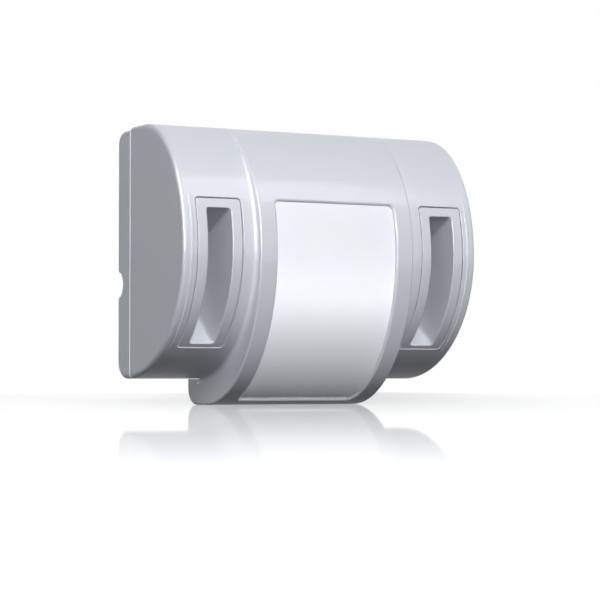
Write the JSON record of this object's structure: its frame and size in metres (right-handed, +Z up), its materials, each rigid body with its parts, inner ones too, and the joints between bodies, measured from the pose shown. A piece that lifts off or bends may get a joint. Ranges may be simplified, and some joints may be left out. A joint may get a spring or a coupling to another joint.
{
  "type": "glass break sensor",
  "caption": "Wall-mounted glass break sensor with a D-shaped housing, a raised curved centre window over a foot, and a funnel-shaped sound port at each side.",
  "frame": {"origin": "centre of the flat back that lies on the wall, level with the nose of the housing", "axes": "+X along the housing's length, +Y into the wall, +Z up; the window faces -Y"},
  "size_m": [0.131, 0.0651, 0.1105],
  "materials": {
    "shell": "fine satin moulded plastic, light grey",
    "seal": "soft white strip",
    "window": "smooth milky white lens plastic",
    "frame_plastic": "satin light grey plastic",
    "retainer": "black glass-filled plastic",
    "screen_cloth": "black acoustic cloth",
    "boot_rubber": "black rubber",
    "microphone_can": "satin aluminium",
    "board": "green solder mask",
    "screw_steel": "zinc plated steel",
    "terminal_plastic": "green terminal plastic",
    "switch_plastic": "black plastic",
    "button_plastic": "white nylon",
    "trimmer_plastic": "blue plastic",
    "can_metal": "nickel plated can",
    "filter_glass": "dark coated filter",
    "chip_plastic": "black moulding compound",
    "relay_plastic": "white plastic",
    "capacitor_can": "dark sleeve on an aluminium can",
    "lamp_plastic": "clear red epoxy",
    "pin_plastic": "black plastic with metal pins"
  },
  "bodies": {
    "detector": {"back_housing": "shell", "housing_seal": "seal", "front_cover": "shell", "sensor_window": "window", "window_retainer": "retainer", "left_port_frame": "frame_plastic", "right_port_frame": "frame_plastic", "left_dust_screen": "screen_cloth", "right_dust_screen": "screen_cloth", "left_mic_boot": "boot_rubber", "right_mic_boot": "boot_rubber", "left_microphone": "microphone_can", "right_microphone": "microphone_can", "main_board": "board", "board_screws": "screw_steel", "terminal_block": "terminal_plastic", "terminal_screws": "screw_steel", "tamper_switch": "switch_plastic", "sensitivity_trimmer": "trimmer_plastic", "pyro_sensor": "can_metal", "pyro_filter": "filter_glass", "microcontroller": "chip_plastic", "alarm_relay": "relay_plastic", "capacitors": "capacitor_can", "indicator_led": "lamp_plastic", "jumper_header": "pin_plastic", "jumper_caps": "pin_plastic", "cover_screw": "screw_steel"},
    "plunger": {"tamper_plunger": "button_plastic"},
    "rotor": {"trimmer_rotor": "button_plastic"}
  },
  "joints": [
    {"name": "tamper_plunger_slide", "type": "slide", "parent": "detector", "child": "plunger", "axis": [0, 1, 0], "range_m": [0, 0.0004], "stiffness_N_per_m": 150, "springref_m": -0.001},
    {"name": "trimmer_rotor_turn", "type": "hinge", "parent": "detector", "child": "rotor", "pos_m": [-0.03, -0.0148, 0.008], "axis": [0, -1, 0], "range_deg": [-135, 135]}
  ]
}
